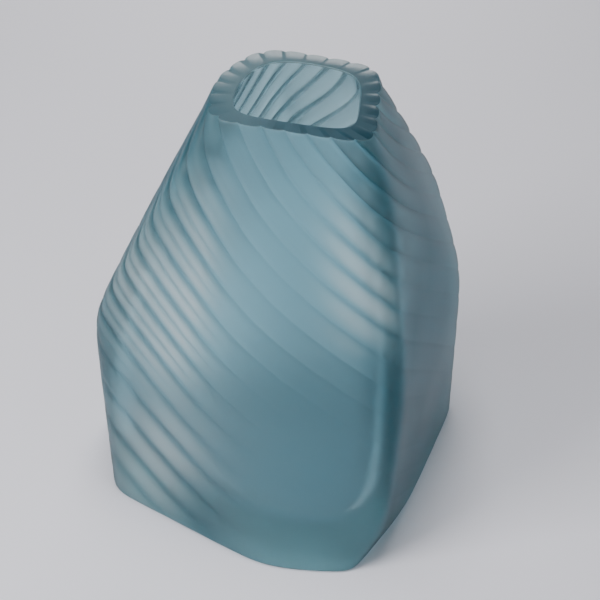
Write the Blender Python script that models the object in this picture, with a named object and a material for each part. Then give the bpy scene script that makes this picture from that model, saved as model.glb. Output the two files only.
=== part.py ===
"""Hand blown art glass vase.

One thick-walled glass body: soft cut facets, slanting ribs with a notch between each two, a flat ground rim
and a flat ground foot. Units are metres and +Z is up. The origin is the middle of the body's box, at the foot.
"""

import math

import bmesh
import bpy
import numpy as np

HEIGHT = 0.262

# One row for each soft facet of the body: its name, the direction it faces in degrees (0 is +X, 90 is +Y),
# the distance of its plane from the vase's axis at the foot, how far it leans inward in degrees, how much it
# bows outward at the foot (0 is flat, 1 is round), and the thickness of the wall behind it.
FACETS = (
    ("front", -106, 0.0800, 10.1, 0.5, 0.0095),
    ("left_front", -125, 0.0750, 3.6, 0.0, 0.010),
    ("left_low", 187, 0.1065, -1.8, 0.0, 0.010),
    ("left_high", 177, 0.1710, 26.3, 0.0, 0.013),
    ("left_back", 138, 0.1215, 16.4, 0.0, 0.012),
    ("back_low", 92, 0.0865, -1.2, 0.0, 0.010),
    ("back_high", 71, 0.1910, 29.4, 0.0, 0.010),
    ("back_right", 25, 0.1165, 3.0, 0.0, 0.010),
    ("right_high", -2, 0.1425, 20.1, 0.0, 0.0105),
    ("right_middle", -21, 0.0950, 7.2, 0.0, 0.0105),
    ("right_low", -20, 0.0745, -2.6, 0.0, 0.010),
    ("right_foot", -33, 0.0740, -23.0, 0.0, 0.012),
)

# How crisply the facets meet: a large number gives a sharp ridge, a small one a round shoulder.
FOOT_CRISPNESS = 32.0
RIM_CRISPNESS = 7.0
SOFTENING_STARTS = 0.140
CAVITY_CRISPNESS_AT_FOOT = 14.0
CAVITY_CRISPNESS_AT_RIM = 5.0

FOOT_EDGE_RADIUS = 0.002
BASE_THICKNESS = 0.012
FLOOR_RADIUS = 0.035
MOUTH_CHAMFER = 0.001

# The ribs run up the body on a slant. At a fixed place round the body, the slant is the number of ribs met on
# each metre of the way down. The sweep bends the ribs by this many rib widths at the foot.
RIB_COUNT = 23
RIB_SLANT = 48.0
RIB_SWEEP = 1.2
RIB_SWEEP_DIRECTION = -134
FIRST_RIB_DIRECTION = -106
FIRST_RIB_OFFSET = 0.5

NOTCH_AT_FOOT = 0.0003
NOTCH_AT_RIM = 0.0026
NOTCH_GROWTH = 1.4
NOTCH_ON_FLAT = 0.6
NOTCH_ON_CORNER = 1.1
NOTCH_BREADTH = 0.5

# Where the cutting took the ribs down below the neck: the direction, how far they were taken down there, how
# narrowly round that direction, and how quickly they come back towards the rim.
FLATTENINGS = (
    ("front", -95, 0.90, 3.0, 2.5),
    ("right_back", 10, 0.70, 3.0, 8.0),
)

# Between each two notches runs a second one, on the side that faces this direction and below the neck.
SECOND_NOTCH = 1.0
SECOND_NOTCH_DIRECTION = -165
SECOND_NOTCH_NARROWNESS = 10.0
SECOND_NOTCH_RETURN = 5.0

CORNER_TEST_CRISPNESS = 6.0

# Mesh density
COLUMNS_PER_RIB = 4
OUTER_ROWS = 40
FOOT_EDGE_ROWS = 3
CAVITY_ROWS = 7
FLOOR_EDGE_ROWS = 5
SECTION_SAMPLES = 1440
SHARP_EDGE_DEGREES = 30


def smooth_step(value, low, high):
    """Rise smoothly from 0 at low to 1 at high."""
    share = min(max((value - low) / (high - low), 0.0), 1.0)
    return share * share * (3.0 - 2.0 * share)


def facet_pulls(angles, height, crispness, wall_share):
    """How strongly each facet pulls the section in, one row for each facet and one column for each angle."""
    pulls = []
    for _, direction, distance, lean, foot_bow, wall in FACETS:
        toward = np.cos(angles - math.radians(direction)).clip(1e-6, 1.0)
        flatness = 1.0 - foot_bow * (1.0 - (height / HEIGHT) ** 2)
        reach = distance - height * math.tan(math.radians(lean)) - wall_share * wall
        pulls.append((toward**flatness / reach) ** crispness)
    return np.array(pulls)


def section_radius(angles, height, crispness, wall_share=0.0):
    """Distance from the axis to the surface at one height, with the facets blended into each other."""
    pulls = facet_pulls(angles, height, crispness, wall_share)
    return pulls.sum(axis=0) ** (-1.0 / crispness)


def body_crispness(height):
    softening = smooth_step(height, SOFTENING_STARTS, HEIGHT)
    return FOOT_CRISPNESS + (RIM_CRISPNESS - FOOT_CRISPNESS) * softening


def cavity_crispness(height):
    return CAVITY_CRISPNESS_AT_FOOT + (CAVITY_CRISPNESS_AT_RIM - CAVITY_CRISPNESS_AT_FOOT) * height / HEIGHT


def rib_angles(height, rib_positions):
    """Angles round the section at one height where the given rib positions lie; whole numbers are notches."""
    start = math.radians(FIRST_RIB_DIRECTION)
    angles = np.linspace(start, start + 2.0 * math.pi, SECTION_SAMPLES + 1)
    radius = section_radius(angles, height, body_crispness(height))
    steps = np.hypot(np.diff(radius * np.cos(angles)), np.diff(radius * np.sin(angles)))
    way_round = np.concatenate(([0.0], np.cumsum(steps))) / steps.sum()

    drop = HEIGHT - height
    sweep = RIB_SWEEP * (drop / HEIGHT) ** 2 * np.sin(angles - math.radians(RIB_SWEEP_DIRECTION))
    ribs_passed = RIB_COUNT * way_round - RIB_SLANT * drop - sweep + FIRST_RIB_OFFSET

    first = ribs_passed[0]
    wanted = first + (rib_positions - first) % RIB_COUNT
    return np.interp(wanted, ribs_passed, angles)


def notch_depth(angles, height):
    """Depth of the notches: shallow on the flat of a facet, deep where facets meet and towards the rim."""
    pulls = facet_pulls(angles, height, CORNER_TEST_CRISPNESS, 0.0)
    corner = (2.0 - 2.0 * pulls.max(axis=0) / pulls.sum(axis=0)).clip(0.0, 1.0)
    level = height / HEIGHT
    depth = NOTCH_AT_FOOT + (NOTCH_AT_RIM - NOTCH_AT_FOOT) * level**NOTCH_GROWTH
    for _, direction, share, narrowness, return_rate in FLATTENINGS:
        toward = (0.5 + 0.5 * np.cos(angles - math.radians(direction))) ** narrowness
        depth = depth * (1.0 - share * toward * (1.0 - level**return_rate))
    return depth * (NOTCH_ON_FLAT + (NOTCH_ON_CORNER - NOTCH_ON_FLAT) * corner)


def rib_relief(positions, angles, height):
    """How deep the surface lies below the ribs' crests, as a share of the notch's depth."""
    broad = (2.0 * (positions % 1.0) - 1.0) ** 2
    half_ribs = 2.0 * positions
    nearest_notch = np.round(half_ribs)
    toward = (0.5 + 0.5 * np.cos(angles - math.radians(SECOND_NOTCH_DIRECTION))) ** SECOND_NOTCH_NARROWNESS
    second = SECOND_NOTCH * toward * (1.0 - (height / HEIGHT) ** SECOND_NOTCH_RETURN)
    share = np.where(nearest_notch % 2.0 == 0.0, 1.0, second)
    narrow = share * (1.0 - 2.0 * np.abs(half_ribs - nearest_notch)) ** 2
    return NOTCH_BREADTH * broad + (1.0 - NOTCH_BREADTH) * narrow


def round_inset(rise, radius):
    """How far a rounded bottom edge of the given radius draws in, at a rise above its lowest level."""
    if rise >= radius:
        return 0.0
    return radius - math.sqrt(radius**2 - (radius - rise) ** 2)


def ring_points(angles, radius, height):
    return [(r * math.cos(a), r * math.sin(a), height) for a, r in zip(angles, radius)]


def outer_ring(height):
    """One ring of the ribbed outer surface, its points on the same rib positions at every height."""
    positions = np.arange(RIB_COUNT * COLUMNS_PER_RIB) / COLUMNS_PER_RIB
    angles = rib_angles(height, positions)
    radius = section_radius(angles, height, body_crispness(height))
    radius -= notch_depth(angles, height) * rib_relief(positions, angles, height)
    radius -= round_inset(height, FOOT_EDGE_RADIUS)
    return angles, ring_points(angles, radius, height)


def cavity_ring(angles, height, widening=0.0):
    """One ring of the smooth inner surface."""
    radius = section_radius(angles, height, cavity_crispness(height), wall_share=1.0)
    radius -= round_inset(height - BASE_THICKNESS, FLOOR_RADIUS)
    return ring_points(angles, radius + widening, height)


def edge_levels(bottom, radius, rows):
    """Levels up a rounded bottom edge, evenly spaced round its quarter circle."""
    return [bottom + radius * (1.0 - math.cos(math.pi / 2.0 * row / rows)) for row in range(rows + 1)]


def vase_rings():
    """All rings from the foot up the outside, over the rim and down the inside to the cavity's floor."""
    outer_levels = edge_levels(0.0, FOOT_EDGE_RADIUS, FOOT_EDGE_ROWS)
    outer_levels += list(np.linspace(FOOT_EDGE_RADIUS, HEIGHT, OUTER_ROWS + 1)[1:])
    rings = []
    for height in outer_levels:
        angles, points = outer_ring(height)
        rings.append(points)

    rings.append(cavity_ring(angles, HEIGHT, widening=MOUTH_CHAMFER))
    floor_levels = edge_levels(BASE_THICKNESS, FLOOR_RADIUS, FLOOR_EDGE_ROWS)
    straight_levels = np.linspace(HEIGHT - MOUTH_CHAMFER, floor_levels[-1], CAVITY_ROWS + 1)[:-1]
    for height in list(straight_levels) + floor_levels[::-1]:
        rings.append(cavity_ring(angles, height))
    return rings


def centre_on_origin(mesh):
    """Move the mesh so that the middle of its box lies on the Z axis."""
    for axis in range(2):
        places = [vert.co[axis] for vert in mesh.verts]
        middle = (min(places) + max(places)) / 2.0
        for vert in mesh.verts:
            vert.co[axis] -= middle


def skin_rings(mesh, rings):
    """Join the rings with faces, and close the first and the last one."""
    rows = [[mesh.verts.new(point) for point in ring] for ring in rings]
    for lower, upper in zip(rows, rows[1:]):
        for i in range(len(lower)):
            j = (i + 1) % len(lower)
            mesh.faces.new((lower[i], lower[j], upper[j], upper[i]))
    mesh.faces.new(rows[0][::-1])
    mesh.faces.new(rows[-1])


def glass_material():
    material = bpy.data.materials.new("satin_teal_glass")
    material.use_nodes = True
    shader = material.node_tree.nodes["Principled BSDF"]
    shader.inputs["Base Color"].default_value = (0.13, 0.30, 0.34, 1.0)
    shader.inputs["Roughness"].default_value = 0.45
    shader.inputs["Metallic"].default_value = 0.0
    shader.inputs["IOR"].default_value = 1.5
    return material


def make_vase_body():
    mesh = bmesh.new()
    skin_rings(mesh, vase_rings())
    centre_on_origin(mesh)
    bmesh.ops.triangulate(mesh, faces=mesh.faces[:], quad_method="SHORT_EDGE")
    data = bpy.data.meshes.new("vase_body")
    mesh.to_mesh(data)
    mesh.free()
    data.shade_smooth()
    data.set_sharp_from_angle(angle=math.radians(SHARP_EDGE_DEGREES))
    data.materials.append(glass_material())
    body = bpy.data.objects.new("vase_body", data)
    bpy.context.collection.objects.link(body)


for old_object in list(bpy.data.objects):
    bpy.data.objects.remove(old_object, do_unlink=True)
make_vase_body()
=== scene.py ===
"""Looks of the hand blown art glass vase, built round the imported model. Metres, +Z up."""

import math

import bpy
import numpy as np
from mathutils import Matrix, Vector


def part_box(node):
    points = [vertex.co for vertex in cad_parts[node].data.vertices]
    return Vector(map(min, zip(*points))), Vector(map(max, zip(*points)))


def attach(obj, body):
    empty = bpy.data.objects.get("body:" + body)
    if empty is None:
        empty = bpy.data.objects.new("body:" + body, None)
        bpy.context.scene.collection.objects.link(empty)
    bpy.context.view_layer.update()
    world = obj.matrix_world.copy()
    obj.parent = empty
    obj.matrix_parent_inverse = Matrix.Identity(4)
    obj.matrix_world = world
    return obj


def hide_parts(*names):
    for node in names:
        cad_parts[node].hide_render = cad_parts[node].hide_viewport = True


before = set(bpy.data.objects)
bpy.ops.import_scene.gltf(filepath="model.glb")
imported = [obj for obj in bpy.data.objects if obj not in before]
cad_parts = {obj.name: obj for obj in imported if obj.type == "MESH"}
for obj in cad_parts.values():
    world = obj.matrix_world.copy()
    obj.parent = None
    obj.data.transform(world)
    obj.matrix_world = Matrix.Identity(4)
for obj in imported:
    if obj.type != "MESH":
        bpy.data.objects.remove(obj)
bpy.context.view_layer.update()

HEIGHT = 0.262

# One row for each soft facet: its name, the direction it faces in degrees (0 is +X, 90 is +Y), the distance
# of its plane from the vase's axis at the foot, how far it leans inward in degrees, how much it bows outward
# at the foot (0 is flat, 1 is round), and the thickness of the wall behind it.
FACETS = (
    ("front", -106, 0.0800, 10.1, 0.5, 0.0095),
    ("left_front", -125, 0.0750, 3.6, 0.0, 0.010),
    ("left_low", 187, 0.1065, -1.8, 0.0, 0.010),
    ("left_high", 177, 0.1710, 26.3, 0.0, 0.013),
    ("left_back", 138, 0.1215, 16.4, 0.0, 0.012),
    ("back_low", 92, 0.0865, -1.2, 0.0, 0.010),
    ("back_high", 71, 0.1910, 29.4, 0.0, 0.010),
    ("back_right", 25, 0.1165, 3.0, 0.0, 0.010),
    ("right_high", -2, 0.1425, 20.1, 0.0, 0.0105),
    ("right_middle", -21, 0.0950, 7.2, 0.0, 0.0105),
    ("right_low", -20, 0.0745, -2.6, 0.0, 0.010),
    ("right_foot", -33, 0.0740, -23.0, 0.0, 0.012),
)

# How crisply the facets meet: a large number gives a sharp ridge, a small one a round shoulder.
FOOT_CRISPNESS = 32.0
RIM_CRISPNESS = 7.0
SOFTENING_STARTS = 0.140
CAVITY_CRISPNESS_AT_FOOT = 14.0
CAVITY_CRISPNESS_AT_RIM = 5.0

# The cosine given to a facet that faces away, small enough for it to take no part in the section.
FACING_AWAY = 1e-6

FOOT_EDGE_RADIUS = 0.002
BASE_THICKNESS = 0.012
FLOOR_RADIUS = 0.035
RIM_ARRIS = 0.0003
MOUTH_CHAMFER = 0.001

# The ribs: how many stand round the body, how many are met on each metre down it, and the sweep at the foot.
RIB_COUNT = 23
RIB_SLANT = 48.0
RIB_SWEEP = 1.2
RIB_SWEEP_DIRECTION = -134
FIRST_RIB_DIRECTION = -106
FIRST_RIB_OFFSET = 0.5

# The notches between the ribs: their depth, how it grows towards the rim, its share on the flat of a facet
# and where facets meet, and how much of the notch is broad rather than narrow.
NOTCH_AT_FOOT = 0.0003
NOTCH_AT_RIM = 0.0026
NOTCH_GROWTH = 1.4
NOTCH_ON_FLAT = 0.6
NOTCH_ON_CORNER = 1.1
NOTCH_BREADTH = 0.5
CORNER_TEST_CRISPNESS = 6.0

# Cut by hand, the notches differ in depth by this share, with this step of phase from one to the next.
HAND_VARIATION = 0.25
HAND_VARIATION_STEP = 2.4

# Where the cutting took the ribs down below the neck: the direction, how far they were taken down there, how
# narrowly round that direction, and how quickly they come back towards the rim.
FLATTENINGS = (
    ("front", -95, 0.90, 3.0, 2.5),
    ("right_back", 10, 0.70, 3.0, 8.0),
)

# Between each two notches runs a second one, on the side that faces this direction: its depth as a share of
# theirs, how narrowly it keeps to that side, how quickly it runs out at the rim, and the two heights between
# which it fades out towards the foot.
SECOND_NOTCH = 1.0
SECOND_NOTCH_DIRECTION = -165
SECOND_NOTCH_NARROWNESS = 10.0
SECOND_NOTCH_RETURN = 5.0
SECOND_NOTCH_NONE = 0.060
SECOND_NOTCH_FULL = 0.130

# Where a painted highlight lies pale on the ribs' crests where the light falls, and where painted shade
# darkens
# the glass to a deep teal: the direction of each patch, how narrow it is round that direction, its middle
# height, half the height it covers and its strength.
# The painted highlight patches: pale streaks on the ribs' crests where the light falls.
PAINTED_HIGHLIGHT_PATCHES = (
    ("left_shoulder", 200, 30.0, 0.165, 0.080, 1.7),
    ("left_foot", 204, 24.0, 0.045, 0.055, 0.7),
    ("right_shoulder", -57, 60.0, 0.188, 0.052, 0.9),
)
# The painted shade patches: deep teal where the glass lies in shade.
PAINTED_SHADE_PATCHES = (
    ("right_ridge", -50, 300.0, 0.080, 0.085, 0.75),
    ("right_neck", -45, 150.0, 0.228, 0.060, 0.8),
    ("left_neck", 190, 20.0, 0.240, 0.080, 1.0),
    ("left_corner", 182, 60.0, 0.090, 0.100, 0.8),
    ("left_foot", -134, 40.0, 0.000, 0.050, 0.85),
    ("front_foot", -72, 12.0, 0.050, 0.090, 0.15),
    ("front_neck", -85, 8.0, 0.200, 0.110, 0.35),
    ("right_corner", 5, 30.0, 0.150, 0.140, 1.2),
    ("right_foot", -28, 40.0, 0.100, 0.090, 1.2),
)
# How narrowly the painted highlight keeps to the ribs' crests.
HIGHLIGHT_NARROWNESS = 2.0

# The ground rim: how far its finish goes from the outside's satin to the cavity's, the side on which its dark
# teal, partly the teal layer and partly painted shade, shows most, and how much of it the other side shows.
RIM_POLISH = 0.35
RIM_SHADE_DIRECTION = -50
RIM_TEAL_AND_SHADE_AWAY = 0.75

# The point attributes that carry all this to the material.
TONES = ("polished_side", "painted_highlight", "deep", "ground_rim_teal_and_shade")

# How finely the surface is made, and the angle from which an edge stays sharp in the shading.
COLUMNS_PER_RIB = 20
OUTER_ROWS = 120
FOOT_EDGE_ROWS = 4
CAVITY_ROWS = 50
FLOOR_EDGE_ROWS = 12
SECTION_SAMPLES = 2880
SHARP_EDGE_DEGREES = 40

# The glass. Where there are two values, a cloudy noise wanders between them. Its clarity is the share of the
# light that goes through the surface rather than back from it.
CLEAR_COLOURS = ((0.54, 0.80, 0.87, 1.0), (0.61, 0.85, 0.92, 1.0))
# Painted highlight: pale on the lit crests of the ribs.
PAINTED_HIGHLIGHT_COLOUR = (0.92, 0.99, 1.0, 1.0)
# Painted shade: deep teal where the glass lies in shade.
PAINTED_SHADE_COLOUR = (0.10, 0.28, 0.34, 1.0)
CAVITY_COLOUR = (0.62, 0.86, 0.92, 1.0)
# The ground rim's near-black teal: partly the teal layer in its cut, partly painted shade, darkest on the
# front right.
RIM_TEAL_AND_SHADE_COLOUR = (0.015, 0.05, 0.07, 1.0)
SLANTING_COLOUR = (0.05, 0.16, 0.22, 1.0)
SLANTING_GROWTH = 2.0
SATIN_ROUGHNESSES = (0.36, 0.48)
CAVITY_ROUGHNESS = 0.18
CLARITY = 0.92
# Less light goes through under the painted highlight, which makes it whiter.
HIGHLIGHT_CLARITY = 0.52
RIM_CLARITY = 0.30
REFRACTION = 1.5
REFLECTION_TINT = (0.40, 0.42, 0.44, 1.0)
ABSORPTION_DENSITY = 9.0
ABSORPTION_COLOUR = (0.10, 0.72, 0.78, 1.0)

# The etched surface: the size of the clouds and of the grain as noise scales, and the grain's height.
CLOUD_SCALE = 22.0
GRAIN_SCALE = 1400.0
GRAIN_STRENGTH = 0.12
GRAIN_HEIGHT = 0.0001

# The table top, which is stage: a square just under the foot, faintly mottled.
TABLE_SIZE = 8.0
TABLE_GAP = 0.0003
TABLE_COLOURS = ((0.89, 0.88, 0.96, 1.0), (0.93, 0.92, 1.0, 1.0))
TABLE_MOTTLE_SCALE = 3.0
TABLE_ROUGHNESS = 0.6

# One row for each soft light: its name, the direction it stands in and its elevation in degrees, its distance
# from the middle of the vase, its width and height, and its power in watts.
LIGHTS = (
    ("overhead", 90, 88, 1.5, (0.6, 0.6), 12.6),
    ("left_window", -150, 35, 1.3, (0.7, 0.7), 14.0),
    ("left_fill", -110, 35, 1.3, (0.7, 0.7), 3.0),
    ("back_strip", 90, 12, 1.3, (0.7, 0.4), 4.6),
    ("right_fill", -40, 50, 1.6, (1.2, 1.2), 3.0),
)
ROOM_COLOUR = (0.80, 0.80, 0.86, 1.0)
ROOM_STRENGTH = 0.01

# The camera, from the vase's axis at the height of the foot. The lens and the sensor are in millimetres.
VIEW_TARGET = Vector((0.005, 0.0, 0.130))
VIEW_DISTANCE = 0.964
VIEW_ELEVATION = math.radians(38.0)
VIEW_LENS = 104.1
VIEW_SENSOR = 36.0

# The Mix node's two inputs and its output, by their places, for each kind of value it mixes.
MIX_SOCKETS = {"RGBA": (6, 7, 2), "FLOAT": (2, 3, 0)}


def smooth_step(value, low, high):
    """Rise smoothly from 0 at low to 1 at high."""
    share = min(max((value - low) / (high - low), 0.0), 1.0)
    return share * share * (3.0 - 2.0 * share)


def share_toward(angles, direction, narrowness=1.0):
    """1 where an angle faces the direction and 0 at the opposite side, falling faster when it is narrow."""
    return (0.5 + 0.5 * np.cos(angles - math.radians(direction))) ** narrowness


def facet_pulls(angles, height, crispness, wall_share):
    """How strongly each facet pulls the section in, one row for each facet and one column for each angle."""
    pulls = []
    for _, direction, distance, lean, foot_bow, wall in FACETS:
        toward = np.cos(angles - math.radians(direction)).clip(FACING_AWAY, 1.0)
        flatness = 1.0 - foot_bow * (1.0 - (height / HEIGHT) ** 2)
        reach = distance - height * math.tan(math.radians(lean)) - wall_share * wall
        pulls.append((toward**flatness / reach) ** crispness)
    return np.array(pulls)


def section_radius(angles, height, crispness, wall_share=0.0):
    """Distance from the axis to the surface at one height, with the facets blended into each other."""
    pulls = facet_pulls(angles, height, crispness, wall_share)
    return pulls.sum(axis=0) ** (-1.0 / crispness)


def body_crispness(height):
    """Sharp ridges up to where the softening starts, and rounder ones from there to the rim."""
    softening = smooth_step(height, SOFTENING_STARTS, HEIGHT)
    return FOOT_CRISPNESS + (RIM_CRISPNESS - FOOT_CRISPNESS) * softening


def cavity_crispness(height):
    """The cavity's corners, rounder than the outside's and rounder still towards the rim."""
    softening = CAVITY_CRISPNESS_AT_RIM - CAVITY_CRISPNESS_AT_FOOT
    return CAVITY_CRISPNESS_AT_FOOT + softening * height / HEIGHT


def rib_angles(height, rib_positions):
    """Angles round the section at one height where the given rib positions lie; whole numbers are notches."""
    start = math.radians(FIRST_RIB_DIRECTION)
    angles = np.linspace(start, start + 2.0 * math.pi, SECTION_SAMPLES + 1)
    radius = section_radius(angles, height, body_crispness(height))
    steps = np.hypot(np.diff(radius * np.cos(angles)), np.diff(radius * np.sin(angles)))
    way_round = np.concatenate(([0.0], np.cumsum(steps))) / steps.sum()

    drop = HEIGHT - height
    sweep = RIB_SWEEP * (drop / HEIGHT) ** 2 * np.sin(angles - math.radians(RIB_SWEEP_DIRECTION))
    ribs_passed = RIB_COUNT * way_round - RIB_SLANT * drop - sweep + FIRST_RIB_OFFSET

    first = ribs_passed[0]
    wanted = first + (rib_positions - first) % RIB_COUNT
    return np.interp(wanted, ribs_passed, angles)


def column_positions():
    """The rib position of each column of points, the same on every ring."""
    return np.arange(RIB_COUNT * COLUMNS_PER_RIB) / COLUMNS_PER_RIB


def corner_share(angles, height):
    """How near a corner of the section lies: 0 on the flat of a facet, 1 where two facets pull equally."""
    pulls = facet_pulls(angles, height, CORNER_TEST_CRISPNESS, 0.0)
    return (2.0 - 2.0 * pulls.max(axis=0) / pulls.sum(axis=0)).clip(0.0, 1.0)


def notch_depth(angles, height):
    """Depth of the notches: shallow on the flat of a facet, deeper where facets meet and towards the rim."""
    corner = corner_share(angles, height)
    level = height / HEIGHT
    depth = NOTCH_AT_FOOT + (NOTCH_AT_RIM - NOTCH_AT_FOOT) * level**NOTCH_GROWTH
    for _, direction, share, narrowness, return_rate in FLATTENINGS:
        toward = share_toward(angles, direction, narrowness)
        depth = depth * (1.0 - share * toward * (1.0 - level**return_rate))
    return depth * (NOTCH_ON_FLAT + (NOTCH_ON_CORNER - NOTCH_ON_FLAT) * corner)


def second_notch_share(angles, height):
    """The second notches' depth at one height, as a share of the first ones'."""
    toward = share_toward(angles, SECOND_NOTCH_DIRECTION, SECOND_NOTCH_NARROWNESS)
    share = SECOND_NOTCH * toward * (1.0 - (height / HEIGHT) ** SECOND_NOTCH_RETURN)
    return share * smooth_step(height, SECOND_NOTCH_NONE, SECOND_NOTCH_FULL)


def rib_relief(positions, angles, height):
    """How far the surface lies below the ribs' crests, as a share of the notch's depth."""
    broad = (2.0 * (positions % 1.0) - 1.0) ** 2
    half_ribs = 2.0 * positions
    nearest_notch = np.round(half_ribs)
    share = np.where(nearest_notch % 2.0 == 0.0, 1.0, second_notch_share(angles, height))
    narrow = share * (1.0 - 2.0 * np.abs(half_ribs - nearest_notch)) ** 2
    return NOTCH_BREADTH * broad + (1.0 - NOTCH_BREADTH) * narrow


def hand_variation(positions, height):
    """Each notch's own share of the depth, drifting slowly up the body, as cut by hand."""
    drift = 2.0 * math.pi * height / HEIGHT
    return 1.0 + HAND_VARIATION * np.sin(HAND_VARIATION_STEP * np.round(2.0 * positions) + drift)


def round_inset(rise, radius):
    """How far a rounded bottom edge of the given radius draws in, at a rise above its lowest level."""
    if rise >= radius:
        return 0.0
    return radius - math.sqrt(radius**2 - (radius - rise) ** 2)


def ring_points(angles, radius, height):
    """The points of one ring, one row for each."""
    return np.column_stack((radius * np.cos(angles), radius * np.sin(angles), np.full(len(angles), height)))


def outer_ring(height):
    """One ring of the ribbed outer surface, its points on the same rib positions at every height."""
    positions = column_positions()
    angles = rib_angles(height, positions)
    radius = section_radius(angles, height, body_crispness(height))
    relief = rib_relief(positions, angles, height) * hand_variation(positions, height)
    radius -= notch_depth(angles, height) * relief
    radius -= round_inset(height, FOOT_EDGE_RADIUS)
    radius -= max(0.0, height - (HEIGHT - RIM_ARRIS))
    return ring_points(angles, radius, height)


def cavity_ring(height, widening=0.0):
    """One ring of the smooth inner surface, its points on the angles of the rim's."""
    angles = rib_angles(HEIGHT, column_positions())
    radius = section_radius(angles, height, cavity_crispness(height), wall_share=1.0)
    radius -= round_inset(height - BASE_THICKNESS, FLOOR_RADIUS)
    return ring_points(angles, radius + widening, height)


def edge_levels(bottom, radius, rows):
    """Levels up a rounded bottom edge, evenly spaced round its quarter circle."""
    return [bottom + radius * (1.0 - math.cos(math.pi / 2.0 * row / rows)) for row in range(rows + 1)]


def vase_rings():
    """All rings up the outside, over the rim and down the inside, and how many of them lie outside."""
    outer_levels = edge_levels(0.0, FOOT_EDGE_RADIUS, FOOT_EDGE_ROWS)
    outer_levels += list(np.linspace(FOOT_EDGE_RADIUS, HEIGHT - RIM_ARRIS, OUTER_ROWS + 1)[1:])
    outer_levels.append(HEIGHT)
    floor_levels = edge_levels(BASE_THICKNESS, FLOOR_RADIUS, FLOOR_EDGE_ROWS)
    wall_levels = list(np.linspace(HEIGHT - MOUTH_CHAMFER, floor_levels[-1], CAVITY_ROWS + 1)[:-1])

    rings = [outer_ring(height) for height in outer_levels]
    rings.append(cavity_ring(HEIGHT, widening=MOUTH_CHAMFER))
    rings += [cavity_ring(height) for height in wall_levels + floor_levels[::-1]]
    return rings, len(outer_levels)


def place_on_cad(rings):
    """Move the rings so that the middle of their box is the middle of the CAD body's box."""
    points = np.concatenate(rings)
    low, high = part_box("vase_body")
    shift = np.zeros(2)
    for axis in range(2):
        own_middle = (points[:, axis].min() + points[:, axis].max()) / 2.0
        shift[axis] = (low[axis] + high[axis]) / 2.0 - own_middle
    for ring in rings:
        ring[:, :2] += shift
    return Vector((shift[0], shift[1], 0.0))


def ring_angles(ring, axis_foot):
    """The angle of each point of a ring, round the vase's axis."""
    return np.arctan2(ring[:, 1] - axis_foot.y, ring[:, 0] - axis_foot.x)


def patch_share(patches, angles, height):
    """How strongly a list of patches shows round one ring."""
    share = np.zeros(len(angles))
    for _, direction, narrowness, middle, half_height, strength in patches:
        toward = share_toward(angles, direction, narrowness)
        share += strength * toward * max(0.0, 1.0 - ((height - middle) / half_height) ** 2)
    return share.clip(0.0, 1.0)


def ring_tones(ring, axis_foot):
    """How strongly the painted highlight and the painted shade show at each point of an outer ring."""
    angles = ring_angles(ring, axis_foot)
    height = ring[0, 2]
    # The painted highlight keeps to the ribs' crests.
    crest = (1.0 - rib_relief(column_positions(), angles, height)) ** HIGHLIGHT_NARROWNESS
    return patch_share(PAINTED_HIGHLIGHT_PATCHES, angles, height) * crest, patch_share(PAINTED_SHADE_PATCHES, angles, height)


def rim_teal_and_shade(ring, axis_foot):
    """How strongly each point of the ground rim shows its dark teal, partly the teal layer and partly painted
    shade.
    """
    toward = share_toward(ring_angles(ring, axis_foot), RIM_SHADE_DIRECTION)
    return RIM_TEAL_AND_SHADE_AWAY + (1.0 - RIM_TEAL_AND_SHADE_AWAY) * toward


def add_tones(data, rings, outer_count, axis_foot):
    """Point attributes that tell the material where the glass is polished or ground, and where highlight and
    shade are painted.
    """
    tones = {name: np.zeros((len(rings), len(rings[0])), dtype=np.float32) for name in TONES}
    for row in range(outer_count):
        tones["painted_highlight"][row], tones["deep"][row] = ring_tones(rings[row], axis_foot)
    for row in (outer_count - 1, outer_count):
        tones["polished_side"][row] = RIM_POLISH
        tones["ground_rim_teal_and_shade"][row] = rim_teal_and_shade(rings[row], axis_foot)
    tones["polished_side"][outer_count + 1:] = 1.0
    for name, values in tones.items():
        attribute = data.attributes.new(name, "FLOAT", "POINT")
        attribute.data.foreach_set("value", values.ravel())


def ring_faces(ring_count, width):
    """Quads between the rings, and one face that closes each end."""
    faces = []
    for base in range(0, (ring_count - 1) * width, width):
        for i in range(width):
            j = (i + 1) % width
            faces.append((base + i, base + j, base + width + j, base + width + i))
    faces.append(tuple(range(width - 1, -1, -1)))
    last = (ring_count - 1) * width
    faces.append(tuple(range(last, last + width)))
    return faces


def add_object(name, data):
    """A new object in the scene."""
    made = bpy.data.objects.new(name, data)
    bpy.context.collection.objects.link(made)
    return made


def make_vase():
    """The vase, and the foot of its axis."""
    rings, outer_count = vase_rings()
    axis_foot = place_on_cad(rings)
    data = bpy.data.meshes.new("vase_glass")
    data.from_pydata(np.concatenate(rings).tolist(), [], ring_faces(len(rings), len(rings[0])))
    data.update()
    add_tones(data, rings, outer_count, axis_foot)
    data.shade_smooth()
    data.set_sharp_from_angle(angle=math.radians(SHARP_EDGE_DEGREES))
    data.materials.append(glass_material())
    vase = add_object("vase_glass", data)
    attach(vase, "root")
    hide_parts("vase_body")
    return axis_foot


def new_material(name):
    """A material, its node tree and its shader."""
    material = bpy.data.materials.new(name)
    material.use_nodes = True
    tree = material.node_tree
    return material, tree, tree.nodes["Principled BSDF"]


def mix(tree, kind, factor, low, high):
    """A value that goes from low to high with the factor socket; low and high are values or sockets."""
    node = tree.nodes.new("ShaderNodeMix")
    node.data_type = kind
    first, second, result = MIX_SOCKETS[kind]
    tree.links.new(factor, node.inputs["Factor"])
    for index, value in ((first, low), (second, high)):
        if isinstance(value, bpy.types.NodeSocket):
            tree.links.new(value, node.inputs[index])
        else:
            node.inputs[index].default_value = value
    return node.outputs[result]


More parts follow.
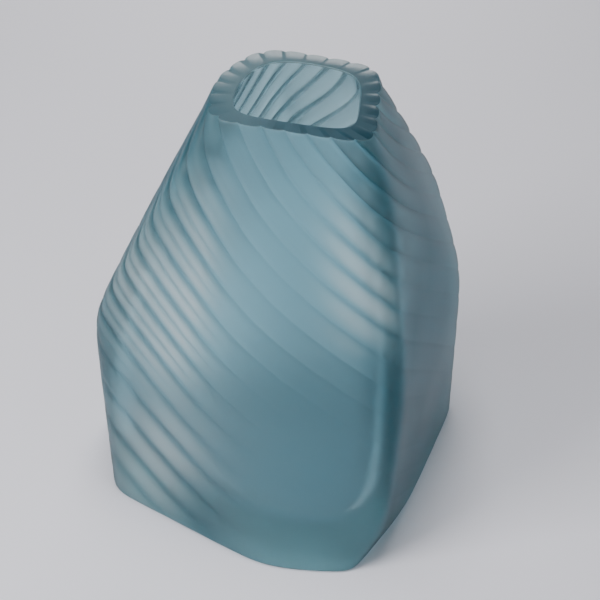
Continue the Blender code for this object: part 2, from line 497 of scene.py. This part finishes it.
def tone(tree, name):
    """The value of one of the point attributes."""
    node = tree.nodes.new("ShaderNodeAttribute")
    node.attribute_name = name
    return node.outputs["Fac"]


def noise(tree, scale, detail, roughness=0.5):
    """A noise that stands still in the object."""
    place = tree.nodes.new("ShaderNodeTexCoord")
    node = tree.nodes.new("ShaderNodeTexNoise")
    node.inputs["Scale"].default_value = scale
    node.inputs["Detail"].default_value = detail
    node.inputs["Roughness"].default_value = roughness
    tree.links.new(place.outputs["Object"], node.inputs["Vector"])
    return node.outputs["Fac"]


def slanting_share(tree):
    """0 where the glass is looked through squarely, rising to 1 where the way through it is longest."""
    facing = tree.nodes.new("ShaderNodeLayerWeight")
    growth = tree.nodes.new("ShaderNodeMath")
    growth.operation = "POWER"
    growth.inputs[1].default_value = SLANTING_GROWTH
    tree.links.new(facing.outputs["Facing"], growth.inputs[0])
    return growth.outputs[0]


def glass_colour(tree, cloud):
    """Clear glass outside with a painted highlight and painted shade, then the cavity, the rim's teal and
    painted shade, and the deeper colour at a slant.
    """
    colour = mix(tree, "RGBA", cloud, *CLEAR_COLOURS)
    colour = mix(tree, "RGBA", tone(tree, "painted_highlight"), colour, PAINTED_HIGHLIGHT_COLOUR)
    # Painted shade: deep teal laid over the glass where it lies in shade.
    colour = mix(tree, "RGBA", tone(tree, "deep"), colour, PAINTED_SHADE_COLOUR)
    colour = mix(tree, "RGBA", tone(tree, "polished_side"), colour, CAVITY_COLOUR)
    # The rim's dark teal: partly the teal layer, partly painted shade.
    colour = mix(tree, "RGBA", tone(tree, "ground_rim_teal_and_shade"), colour, RIM_TEAL_AND_SHADE_COLOUR)
    return mix(tree, "RGBA", slanting_share(tree), colour, SLANTING_COLOUR)


def glass_roughness(tree, cloud):
    """Satin outside and smoother inside."""
    satin = mix(tree, "FLOAT", cloud, *SATIN_ROUGHNESSES)
    return mix(tree, "FLOAT", tone(tree, "polished_side"), satin, CAVITY_ROUGHNESS)


def glass_clarity(tree):
    """How much light goes through: less under the painted highlight, and least through the ground rim."""
    clarity_with_highlight = mix(tree, "FLOAT", tone(tree, "painted_highlight"), CLARITY, HIGHLIGHT_CLARITY)
    return mix(tree, "FLOAT", tone(tree, "ground_rim_teal_and_shade"), clarity_with_highlight, RIM_CLARITY)


def glass_material():
    """Etched glass with teal in its depth."""
    material, tree, shader = new_material("cased_teal_glass")
    cloud = noise(tree, CLOUD_SCALE, detail=3.0)
    tree.links.new(glass_colour(tree, cloud), shader.inputs["Base Color"])
    tree.links.new(glass_roughness(tree, cloud), shader.inputs["Roughness"])
    tree.links.new(glass_clarity(tree), shader.inputs["Transmission Weight"])
    shader.inputs["IOR"].default_value = REFRACTION
    shader.inputs["Specular Tint"].default_value = REFLECTION_TINT
    shader.distribution = "GGX"

    bump = tree.nodes.new("ShaderNodeBump")
    bump.inputs["Strength"].default_value = GRAIN_STRENGTH
    bump.inputs["Distance"].default_value = GRAIN_HEIGHT
    tree.links.new(noise(tree, GRAIN_SCALE, detail=2.0, roughness=0.6), bump.inputs["Height"])
    tree.links.new(bump.outputs["Normal"], shader.inputs["Normal"])

    absorption = tree.nodes.new("ShaderNodeVolumeAbsorption")
    absorption.inputs["Color"].default_value = ABSORPTION_COLOUR
    absorption.inputs["Density"].default_value = ABSORPTION_DENSITY
    tree.links.new(absorption.outputs["Volume"], tree.nodes["Material Output"].inputs["Volume"])
    return material


def table_material():
    """A whitish matt surface."""
    material, tree, shader = new_material("pale_table")
    mottle = noise(tree, TABLE_MOTTLE_SCALE, detail=3.0)
    tree.links.new(mix(tree, "RGBA", mottle, *TABLE_COLOURS), shader.inputs["Base Color"])
    shader.inputs["Roughness"].default_value = TABLE_ROUGHNESS
    return material


def make_table():
    """The table top that the vase stands on."""
    half = TABLE_SIZE / 2.0
    data = bpy.data.meshes.new("table_top")
    corners = [(x, y, -TABLE_GAP) for x, y in ((-half, -half), (half, -half), (half, half), (-half, half))]
    data.from_pydata(corners, [], [(0, 1, 2, 3)])
    data.materials.append(table_material())
    add_object("table_top", data)


def make_light(name, azimuth, elevation, distance, size, power):
    """A rectangular light aimed at the middle of the vase."""
    around, above = math.radians(azimuth), math.radians(elevation)
    level = math.cos(above)
    toward = Vector((level * math.cos(around), level * math.sin(around), math.sin(above)))
    data = bpy.data.lights.new(name, "AREA")
    data.shape = "RECTANGLE"
    data.size, data.size_y = size
    data.energy = power
    light = add_object(name, data)
    light.location = Vector((0.0, 0.0, HEIGHT / 2.0)) + distance * toward
    light.rotation_euler = toward.to_track_quat("Z", "Y").to_euler()


def make_room():
    """A dim room, which the soft lights outshine."""
    world = bpy.data.worlds.new("studio")
    world.use_nodes = True
    background = world.node_tree.nodes["Background"]
    background.inputs["Color"].default_value = ROOM_COLOUR
    background.inputs["Strength"].default_value = ROOM_STRENGTH
    bpy.context.scene.world = world


def make_camera(axis_foot):
    """The camera, looking down at the vase from the front."""
    data = bpy.data.cameras.new("camera")
    data.lens = VIEW_LENS
    data.sensor_width = VIEW_SENSOR
    camera = add_object("camera", data)
    toward_viewer = Vector((0.0, -math.cos(VIEW_ELEVATION), math.sin(VIEW_ELEVATION)))
    camera.location = axis_foot + VIEW_TARGET + VIEW_DISTANCE * toward_viewer
    camera.rotation_euler = (-toward_viewer).to_track_quat("-Z", "Y").to_euler()
    bpy.context.scene.camera = camera


axis_foot = make_vase()
make_table()
for light_row in LIGHTS:
    make_light(*light_row)
make_room()
make_camera(axis_foot)
